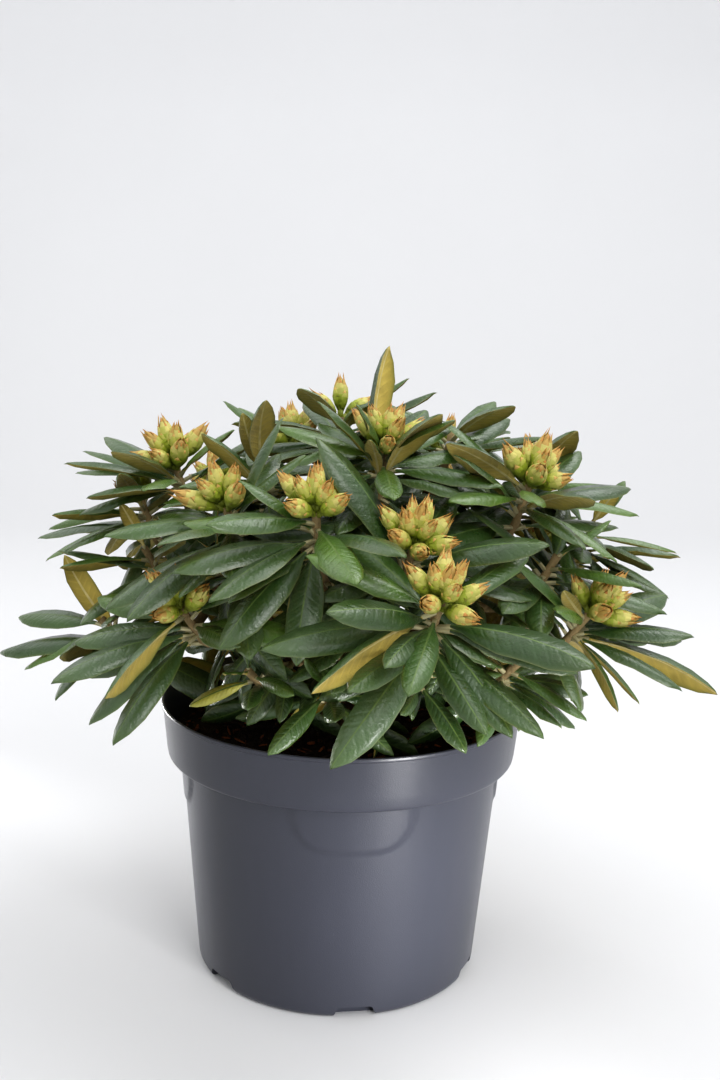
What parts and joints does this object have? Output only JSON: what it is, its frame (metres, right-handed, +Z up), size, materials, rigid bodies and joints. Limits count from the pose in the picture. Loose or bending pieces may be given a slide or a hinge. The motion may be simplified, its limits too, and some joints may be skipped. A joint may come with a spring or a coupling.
{
  "type": "potted rhododendron",
  "caption": "Compact evergreen rhododendron in a round nursery pot, a low dome of long leathery leaf whorls with clusters of fat flower buds at the shoot tips.",
  "frame": {"origin": "middle of the flat underside of the pot", "axes": "+Z up along the pot's axis, -Y towards the side of the plant that faces the viewer, +X to the viewer's right"},
  "size_m": [0.5562, 0.5057, 0.4875],
  "materials": {
    "pot": "satin moulded plastic",
    "soil": "rough peat with bits of bark",
    "bark": "dull, finely cracked",
    "foliage": "leathery with a soft sheen"
  },
  "bodies": {
    "root": {"pot": "pot", "soil": "soil", "trunk": "bark", "bough_front": "bark", "bough_front_left": "bark", "bough_left": "bark", "bough_front_right": "bark", "bough_right": "bark", "bough_crown": "bark", "bough_back_left": "bark", "bough_back": "bark", "bough_back_right": "bark", "leaves_front": "foliage", "leaves_front_left": "foliage", "leaves_left": "foliage", "leaves_front_right": "foliage", "leaves_right": "foliage", "leaves_crown": "foliage", "leaves_back_left": "foliage", "leaves_back": "foliage", "leaves_back_right": "foliage"}
  },
  "joints": []
}
